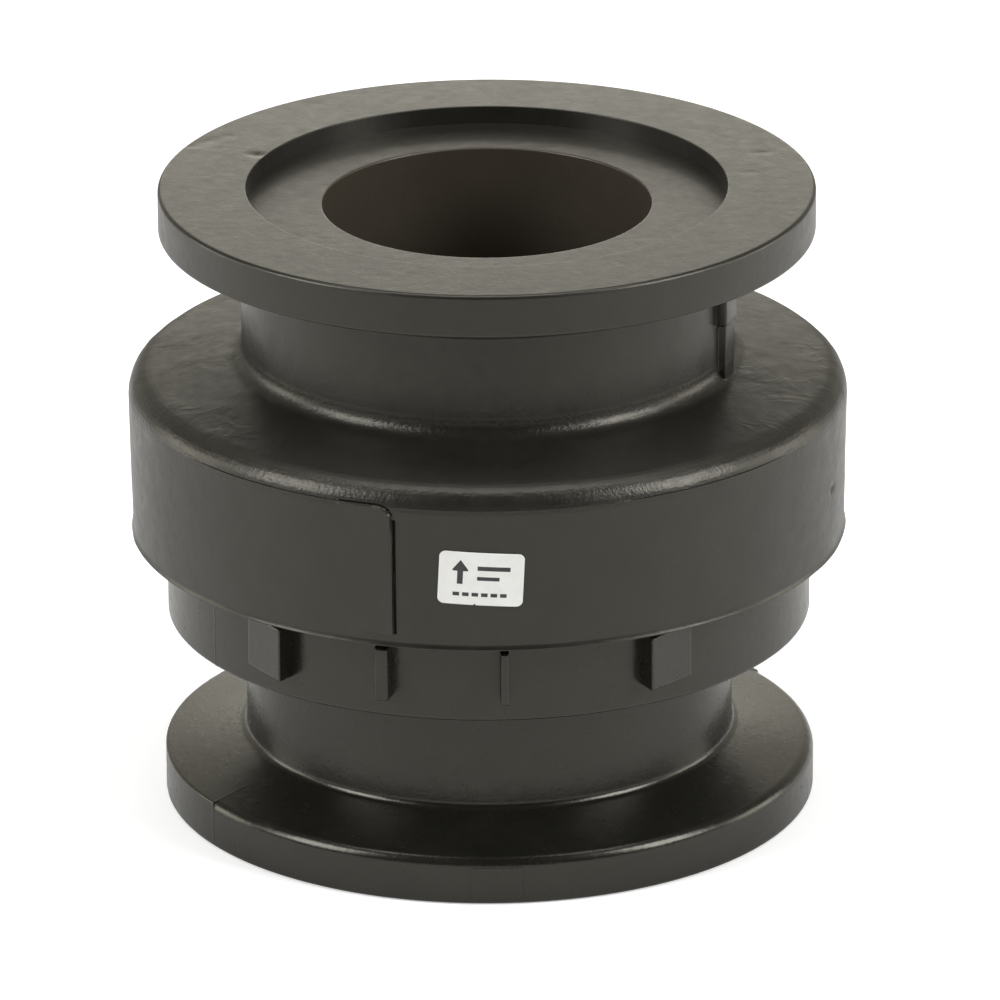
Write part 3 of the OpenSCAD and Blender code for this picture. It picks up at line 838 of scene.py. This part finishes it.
def end_fitting():
    """The outline has a soft and a crisp form, side by side, for the two halves of the mould."""
    both = np.hstack([fitting_profile(RIM_ROUND_SOFT), fitting_profile(RIM_ROUND_CRISP)])
    levels = edge_levels(*LUG_Z) + edge_levels(*PATCH_Z)
    both = cut_rows(refined(both, MOULDING_SIDE), levels, COLLAR_R - 0.01)
    soft, crisp = both[:, :2], both[:, 2:]

    def shape(theta, r, z, normal_r, normal_z):
        from_middle = np.abs(wrapped(theta - PARTING_ANGLES[0] - 90))
        rear = smooth_step(from_middle, 90 - HALVES_BLEND, 90 + HALVES_BLEND)
        r, z = r + rear * (crisp[:, 0] - soft[:, 0]), z + rear * (crisp[:, 1] - soft[:, 1])
        collar = (r > COLLAR_R - 0.01) & (z > COLLAR_Z)
        r = np.where(collar, r + collar_stand(theta, z), r)
        rim = (r > FLANGE_R - 0.01) & (z < LOWER_RIM_H)
        r = np.where(rim, r + patch_stand(theta, z), r)
        marks = fitting_marks(theta, r, z)
        return r + marks * normal_r, z + marks * normal_z

    edges = [*LUG_FACES, (PATCH_EDGES[0], 1), (PATCH_EDGES[1], -1)]
    edges += [(a + side * LUG_SWEEP, -side) for a, side in LUG_FACES]
    edges += [(a + s * math.degrees(w / 2 / COLLAR_R), -s) for a, w in RIBS for s in (-1, 1)]
    edges += [(a + off, 1) for a in PARTING_ANGLES for off in PARTING_COLUMNS]
    angles = around(MOULDING_COLUMNS, edges)
    return sharpened(lathe("lower_casing", soft, angles, FITTING_BLACK, shape), MOULDING_SHARP)


# The label

def on_wall(x, y, out):
    """A place on the label's sheet, in millimetres from its middle, laid on the barrel's wall."""
    tilt = math.radians(LABEL_TILT)
    z = LABEL_Z - x * math.sin(tilt) + y * math.cos(tilt)
    r = barrel_r_at(z) + REST_GAP + out
    return at(math.radians(LABEL_ANGLE) + (x * math.cos(tilt) + y * math.sin(tilt)) / r, r, z)


def sheet(name, xs, low, high, inside, outside, material, edge=0.02):
    """A thin closed film between two curves, low(x) and high(x), with its edges broken."""
    rings = []
    for x in xs:
        foot, top = low(x), high(x)
        across = min(edge, (top - foot) / 4)
        section = [
            (foot, inside), (foot, outside - edge), (foot + across, outside),
            (top - across, outside), (top, outside - edge), (top, inside)]
        rings.append([on_wall(x, y, out) for y, out in section])
    return sharpened(skinned(name, rings, material), 30)


def label():
    """The pale sticker, with rounded corners and a small nick in its lower edge."""
    nick_x, nick_half, nick_h = -0.4, 0.06, 0.12

    def fall(x):
        past = max(0.0, abs(x) - LABEL_W / 2 + LABEL_CORNER)
        return LABEL_CORNER - math.sqrt(max(LABEL_CORNER ** 2 - past ** 2, 0))

    straight = LABEL_W / 2 - LABEL_CORNER
    right = [straight + LABEL_CORNER * math.sin(math.pi / 2 * k / 8) for k in range(9)]
    right[-1] -= 0.01
    middle = [straight * k / 24 for k in range(-23, 24)]
    near_nick = [nick_x + nick_half / 2 * k for k in range(-5, 6)]
    xs = sorted([*right, *[-x for x in right], *middle, *near_nick])
    xs = [x for i, x in enumerate(xs) if i == 0 or x - xs[i - 1] > 0.004]
    return sheet(
        "sticker", xs, lambda x: fall(x) - LABEL_H / 2 + nick_h * hump(x - nick_x, nick_half),
        lambda x: LABEL_H / 2 - fall(x), 0, LABEL_T, PAPER)


def label_print():
    """A plain print: an arrow along the flow, two bars and a row of dashes."""
    ink_faces = (LABEL_T - 0.03, LABEL_T + 0.003)
    ink_edge = 0.004
    arrow_x, head_half, shaft_half = -1.6, 0.66, 0.22
    tail_y, head_y, tip_y, head_fall = -0.45, 0.6, 1.5, 1.3
    steps = [head_half * k / 10 for k in range(-9, 10)]
    steps += [s * (shaft_half + d) for s in (-1, 1) for d in (-0.002, 0.002)]
    printed = [sheet(
        "flow_arrow", [arrow_x + x for x in sorted(steps)],
        lambda x: tail_y if abs(x - arrow_x) < shaft_half else head_y,
        lambda x: tip_y - head_fall * abs(x - arrow_x), *ink_faces, INK, ink_edge)]
    dash_x, dash_w, dash_pitch, dash_y = -2.1, 0.5, 0.72, (-1.42, -1.12)
    bars = [("upper_bar", (-0.3, 2.2), (0.7, 1.05)), ("lower_bar", (-0.3, 1.4), (-0.1, 0.2))]
    for i in range(6):
        start = dash_x + dash_pitch * i
        bars.append((f"dash_{i}", (start, start + dash_w), dash_y))
    for name, (x0, x1), (y0, y1) in bars:
        xs = [x0 + (x1 - x0) * k / 16 for k in range(17)]
        printed.append(sheet(name, xs, lambda x: y0, lambda x: y1, *ink_faces, INK, ink_edge))
    return printed


# The inner pieces

def fused(base, others, operation="UNION"):
    """Joins or cuts closed meshes into one closed mesh."""
    for other in others:
        modifier = base.modifiers.new("fuse", "BOOLEAN")
        modifier.operation = operation
        modifier.solver = "EXACT"
        modifier.object = other
        graph = bpy.context.evaluated_depsgraph_get()
        mesh = bpy.data.meshes.new_from_object(base.evaluated_get(graph))
        base.modifiers.clear()
        old, base.data = base.data, mesh
        bpy.data.meshes.remove(old)
        bpy.data.objects.remove(other)
    return base


def prism(name, outline, thickness, material):
    """A plate cut to an outline in millimetres, centred on its middle plane."""
    count = len(outline)
    verts = [Vector((x, y, s * thickness / 2)) for s in (-1, 1) for x, y in outline]
    faces = [tuple(range(count - 1, -1, -1)), tuple(range(count, 2 * count))]
    faces += [(i, (i + 1) % count, count + (i + 1) % count, count + i) for i in range(count)]
    return new_object(name, verts, faces, material)


def radial_plate(name, outline, thickness, angle, material, bevel=0.12):
    """A prism with broken edges, stood upright: its outline is (distance from the axis, height), and it
    points at an angle."""
    def break_edges(work):
        sharp = [e for e in work.edges if e.calc_face_angle() > math.radians(30)]
        bmesh.ops.bevel(work, geom=sharp, offset=bevel, segments=2, affect="EDGES", profile=0.5)

    obj = edited(prism(name, outline, thickness, material), break_edges)
    stand = Matrix(((0, 0, 1), (-1, 0, 0), (0, 1, 0))).to_4x4()
    turn = Matrix.Rotation(math.radians(angle), 4, "Z")
    obj.data.transform(Matrix.Scale(MM, 4) @ turn @ stand)
    return obj


def arc_ring(name, profile, start, end, material, steps=180):
    """A profile swept part of the way round the axis, with closed ends."""
    angles = [math.radians(start + (end - start) * i / steps) for i in range(steps + 1)]
    return skinned(name, [[at(t, r, z) for r, z in profile] for t in angles], material)


def box_corners(r_in, r_out, low, high, size):
    """The four corners of a ring's section, all rounded alike."""
    return [(r_in, low, size), (r_out, low, size), (r_out, high, size), (r_in, high, size)]


def turned(name, corners, material, count=INNER_COLUMNS):
    """A ring turned from rounded corners."""
    return lathe(name, refined(rounded(corners, 5), INNER_SIDE, 0.08), around(count), material)


def solid_turned(name, corners, material, count=INNER_COLUMNS):
    """As turned, for a solid piece whose corners start and end on the axis."""
    return lathe(name, rounded(corners, 5), around(count), material)


def washer(name, z):
    profile = rounded(box_corners(WASHER_BORE_R, WASHER_R, z, z + WASHER_H, WASHER_BREAK), 4)
    return lathe(name, refined(profile, 1.5, 0.05), around(INNER_COLUMNS), STEEL)


def spring_coil():
    """Closed ends and an even pitch between, with the wire's ends ground to a blunt face."""
    turns, closed, sides, per_turn = 6.5, 1.0, 16, 48
    low_z = SPRING_SEAT_Z + WASHER_H + REST_GAP + WIRE_R
    high_z = SPRING_TOP_Z - WIRE_R
    pitch = (high_z - low_z - 4 * WIRE_R * closed) / (turns - 2 * closed)
    wire = WIRE_R - REST_GAP

    def height(turn):
        if turn < closed:
            return low_z + turn * 2 * WIRE_R
        if turn < turns - closed:
            return low_z + 2 * WIRE_R + (turn - closed) * pitch
        return high_z - (turns - turn) * 2 * WIRE_R

    rings = []
    count = int(turns * per_turn)
    section = [2 * math.pi * j / sides for j in range(sides)]
    for i in range(count + 1):
        turn = turns * i / count
        t = 2 * math.pi * turn + math.pi / 2
        z = height(turn)
        rings.append([at(t, SPRING_R + wire * math.cos(b), z + wire * math.sin(b)) for b in section])
    return sharpened(skinned("coil_spring", rings, WIRE), INNER_SHARP)


def guide():
    """The spider: a rim under the shelf, a hub round the poppet's stem and three arched arms."""
    rim_in, rim_out, hub_in, hub_out = 13.0, 14.9, STEM_R + STEM_CLEAR, WASHER_R + 0.2
    rim = turned("guide", [
        (rim_in, SPIDER_Z, 0.5), (rim_out, SPIDER_Z, FINE_BREAK), (rim_out, SHELF_Z, FINE_BREAK),
        (rim_in, SHELF_Z, 0.5)], GUIDE_BLACK)
    hub = turned("hub", [
        (hub_in, HUB_Z, 0.25), (PILOT_R - 0.5, HUB_Z, 0.3), (PILOT_R, SPIDER_Z - 0.9, 0),
        (PILOT_R, SPIDER_Z, 0), (hub_out, SPIDER_Z, 0.3), (hub_out, SPIDER_Z + 0.8, 0.5),
        (PILOT_R + 0.4, SHELF_Z, 0.5), (hub_in, SHELF_Z, 0.25)], GUIDE_BLACK)
    arm_in, arm_out, arch_r, arch_h, arm_w = 4.2, 13.5, 9.8, 0.9, 2.2
    foot_z, top_z = SPIDER_Z + REST_GAP, SHELF_Z - REST_GAP
    outline = rounded([
        (arm_in, foot_z, 0), (WASHER_R, foot_z, 0), (arch_r, SPIDER_Z + arch_h, 4), (arm_out, foot_z, 0),
        (arm_out, top_z, 0), (arm_in, top_z, 0)])
    arms = [radial_plate(f"arm_{i}", outline, arm_w, 120 * i, GUIDE_BLACK) for i in range(3)]
    return sharpened(fused(rim, [hub, *arms]), INNER_SHARP)


def poppet_piece():
    """The head with its skirt round the seal, the spring's pilot and the stem, stiffened by six gussets."""
    boss_r, boss_z = SEAL_BORE_R - REST_GAP, SEAL_Z + 0.15
    skirt_in, skirt_z = SEAL_R + REST_GAP, SEAT_Z + 0.8
    body = solid_turned("poppet_body", [
        (0, boss_z, 0), (boss_r, boss_z, FINE_BREAK), (boss_r, HEAD_Z, 0), (skirt_in, HEAD_Z, 0),
        (skirt_in, skirt_z, 0), (HEAD_R, skirt_z, EDGE_BREAK), (HEAD_R, HEAD_Z + 1.1, 0.7),
        (WASHER_R + 0.4, SPRING_SEAT_Z, 0.4), (PILOT_R, SPRING_SEAT_Z, 0),
        (PILOT_R, SPRING_SEAT_Z + 1.8, 0.3), (PILOT_R - 0.5, STOP_Z, 0.3), (STEM_R, STOP_Z, 0.3),
        (STEM_R, STEM_TOP_Z, 0.8), (0, STEM_TOP_Z, 0)], GUIDE_BLACK)
    gusset_in, gusset_out, gusset_z, gusset_w = WASHER_R + 0.9, HEAD_R - 0.9, HEAD_Z + 0.4, 1.2
    outline = rounded([
        (gusset_in, gusset_z, 0), (gusset_out, gusset_z, 0), (gusset_out, HEAD_Z + 1.5, 0.4),
        (gusset_in, SPRING_SEAT_Z + 0.5, 0.4)])
    gussets = [radial_plate(f"gusset_{i}", outline, gusset_w, 60 * i, GUIDE_BLACK) for i in range(6)]
    return sharpened(fused(body, gussets), INNER_SHARP)


def seal():
    return turned("flat_seal", [
        (SEAL_BORE_R, SEAL_Z, 0.05), (SEAL_R, SEAL_Z, 0.25), (SEAL_R, HEAD_Z, 0.05),
        (SEAL_BORE_R, HEAD_Z, 0.05)], RUBBER)


def retainer():
    low_z = SEAL_Z - RETAINER_H
    return turned("retainer", [
        (SCREW_HOLE_R, low_z, 0.1), (RETAINER_R, low_z, 0.5), (RETAINER_R, SEAL_Z, 0.2),
        (SCREW_HOLE_R, SEAL_Z, 0.05)], STEEL)


def insert():
    """The poppet's threaded insert, with a waist round its middle."""
    out, hole, waist = 2.9, 2.0, 2.5
    low, length = SEAL_Z + 0.4, 7
    high = low + length
    return turned("threaded_insert", [
        (hole, low, 0.15), (out, low, 0.2), (out, low + length * 0.4, 0.2), (waist, low + length * 0.45, 0),
        (waist, low + length * 0.55, 0), (out, low + length * 0.6, 0.2), (out, high, 0.2),
        (hole, high, 0.15)], BRASS, 96)


def snap_ring():
    """An open ring with an eye at each end, for the pliers."""
    z1 = SPIDER_Z - REST_GAP
    z0 = z1 - 0.95
    r_out, width, eye, gap = 15.88, 2.0, 1.3, 14
    eye_r = r_out - width - 0.2
    section = rounded(box_corners(r_out - width, r_out, z0, z1, 0.08), 3)
    base = arc_ring("snap_ring", section, 180 + gap, 540 - gap, STEEL)
    eyes, holes = [], []
    for side in (-1, 1):
        place = Matrix.Translation(at(math.radians(180 + side * (gap + 4)), eye_r, 0))
        for radius, low, high, bag in ((eye, z0, z1, eyes), (eye / 2, z0 - 1, z1 + 1, holes)):
            corners = [(0, low, 0), (radius, low, 0.06), (radius, high, 0.06), (0, high, 0)]
            piece = solid_turned("eye", corners, STEEL, 40)
            piece.data.transform(place)
            bag.append(piece)
    return sharpened(fused(fused(base, eyes), holes, "DIFFERENCE"), INNER_SHARP)


def screw():
    """A socket screw that points up, with its hexagon in the underside."""
    head_r, head_h, length, across, socket_depth = 3.5, 2.2, 9, 2.5, 1.32
    head_z, tip_z = SCREW_UNDER_Z - head_h, SCREW_UNDER_Z + length
    body = solid_turned("socket_screw", [
        (0, head_z, 0), (head_r, head_z, 0.9), (head_r, SCREW_UNDER_Z, 0.1), (SCREW_R, SCREW_UNDER_Z, 0),
        (SCREW_R, tip_z, 0.5), (0, tip_z, 0)], STEEL, 96)
    corner_r = across / math.sqrt(3)
    turns = [math.radians(60 * k) for k in range(6)]
    hexagon = [(corner_r * math.cos(t), corner_r * math.sin(t)) for t in turns]
    spare = 1
    socket = prism("socket", hexagon, 2 * (socket_depth + spare), STEEL)
    socket.data.transform(Matrix.Scale(MM, 4) @ Matrix.Translation((0, 0, head_z - spare)))
    return sharpened(fused(body, [socket], "DIFFERENCE"), 35)


def lock_washer():
    """A washer that is split on one side."""
    split, break_size = 12, 0.05
    corners = box_corners(SCREW_HOLE_R, LOCK_R, SCREW_UNDER_Z, SCREW_UNDER_Z + LOCK_H, break_size)
    return sharpened(arc_ring("split_washer", rounded(corners, 3), split, 360, STEEL, 96), INNER_SHARP)


def o_ring():
    middle, out = sum(GROOVE_Z) / 2, LAND_R + JOINT_CLEAR
    corners = box_corners(GROOVE_R, out, middle - CORD_HALF, middle + CORD_HALF, CORD_ROUND)
    return turned("o_ring", corners, RUBBER)


# The pieces, each with its body and the node that it replaces

def add(piece, body, node):
    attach(piece, body)
    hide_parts(node)
    return piece


add(upper_housing(), "casing", "upper_housing")
add(end_fitting(), "casing", "end_fitting")
add(label(), "casing", "label")
for mark in label_print():
    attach(mark, "casing")
add(insert(), "poppet", "poppet_insert")
add(guide(), "casing", "guide_spider")
add(snap_ring(), "casing", "spider_snap_ring")
add(washer("upper_washer", SPIDER_Z - WASHER_H), "casing", "upper_spring_washer")
add(washer("lower_washer", SPRING_SEAT_Z), "poppet", "lower_spring_washer")
add(poppet_piece(), "poppet", "poppet")
add(seal(), "poppet", "poppet_seal")
add(retainer(), "poppet", "seal_retainer")
add(lock_washer(), "poppet", "lock_washer")
add(screw(), "poppet", "retainer_screw")
add(o_ring(), "casing", "body_o_ring")
coil = add(spring_coil(), "casing", "spring")
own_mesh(coil)


# The scene around the part, in metres and watts

PLAIN = (1, 1, 1)
WARM = (1, 0.965, 0.88)
SURROUND = (1, 0.96, 0.81)
SURROUND_GLOW = 0.72
TABLE_HALF = 1.5
TABLE_DROP = 0.05 * MM
TABLE_SEEN = 0.4
TABLE_IN_GLOSS = 0.06

# Each lamp's name, place, size, power and colour
LAMPS = (
    ("soft_box_left", (-0.45, -0.2, 0.3), (0.25, 0.3), 2.2, PLAIN),
    ("soft_box_right", (0.45, -0.2, 0.3), (0.25, 0.3), 2.55, PLAIN),
    ("soft_box_above", (0, -0.02, 0.42), (0.4, 0.14), 0.95, PLAIN),
    ("low_box_left", (-0.4, 0.1, 0.08), (0.2, 0.15), 0.35, WARM),
    ("low_box_right", (0.4, 0.1, 0.08), (0.2, 0.15), 0.35, WARM),
    ("card_behind", (0, 0.2, 0.085), (0.12, 0.055), 0.042, WARM),
)

# The camera was fitted to the photo: its lens and sensor in millimetres, its place, and its turns in degrees
LENS = 415.19
SENSOR = 36
CAMERA_PLACE = (0, -0.839543, 0.343949)
CAMERA_YAW = 0.062
CAMERA_DIP = 20.894
CAMERA_ROLL = -0.272


def soft_box(name, place, size, power, colour):
    """A rectangular lamp, turned to the middle of the part."""
    data = bpy.data.lights.new(name, "AREA")
    data.shape = "RECTANGLE"
    data.size, data.size_y = size
    data.energy = power
    data.color = colour
    obj = placed(name, data)
    middle = Vector((0, 0, OVERALL_H / 2 * MM))
    obj.location = place
    obj.rotation_euler = (middle - Vector(place)).to_track_quat("-Z", "Y").to_euler()


def surround():
    """White where the camera sees it. For the light, a glow behind the part that fades to the sides."""
    world = bpy.data.worlds.new("studio")
    bpy.context.scene.world = world
    world.use_nodes = True
    tree = world.node_tree
    background = tree.nodes["Background"]
    seen = tree.nodes.new("ShaderNodeLightPath").outputs["Is Camera Ray"]
    tree.links.new(mix_node(tree, seen, SURROUND, PLAIN), background.inputs["Color"])
    _, y, _ = axes_node(tree, tree.nodes.new("ShaderNodeTexCoord").outputs["Generated"])
    behind = math_node(tree, "POWER", math_node(tree, "MAXIMUM", y, 0.0), 2.0)
    glow = math_node(tree, "MULTIPLY", behind, SURROUND_GLOW)
    tree.links.new(math_node(tree, "MAXIMUM", glow, seen), background.inputs["Strength"])


def floor():
    """A pale table that keeps the part's shadow. It glows where the camera sees it, and less in a gloss."""
    material, tree, inputs = new_material("table_white")
    feed(tree, inputs, {"Base Color": (0.82, 0.82, 0.82), "Roughness": 0.9, "Specular IOR Level": 0})
    path = tree.nodes.new("ShaderNodeLightPath")
    gloss = math_node(tree, "MAXIMUM", path.outputs["Is Glossy Ray"], path.outputs["Is Transmission Ray"])
    in_gloss = math_node(tree, "MULTIPLY", gloss, TABLE_IN_GLOSS)
    straight = math_node(tree, "MULTIPLY", path.outputs["Is Camera Ray"], TABLE_SEEN)
    strength = math_node(tree, "MAXIMUM", in_gloss, straight)
    feed(tree, inputs, {"Emission Color": PLAIN, "Emission Strength": strength})
    corners = [(x * TABLE_HALF, y * TABLE_HALF, 0) for x, y in ((-1, -1), (1, -1), (1, 1), (-1, 1))]
    obj = new_object("table", corners, [(0, 1, 2, 3)], material)
    obj.location = (0, 0, -TABLE_DROP)


def camera():
    """Where the photo was taken from: a long lens, 21 degrees above the horizon."""
    data = bpy.data.cameras.new("camera")
    data.sensor_width = SENSOR
    data.lens = LENS
    data.clip_end = 10
    obj = placed("camera", data)
    place = Matrix.Translation(CAMERA_PLACE)
    for degrees, axis in ((-CAMERA_YAW, "Z"), (90 - CAMERA_DIP, "X"), (CAMERA_ROLL, "Z")):
        place = place @ Matrix.Rotation(math.radians(degrees), 4, axis)
    obj.matrix_world = place
    bpy.context.scene.camera = obj


camera()
floor()
surround()
for lamp in LAMPS:
    soft_box(*lamp)
bpy.context.scene.view_settings.view_transform = "Standard"
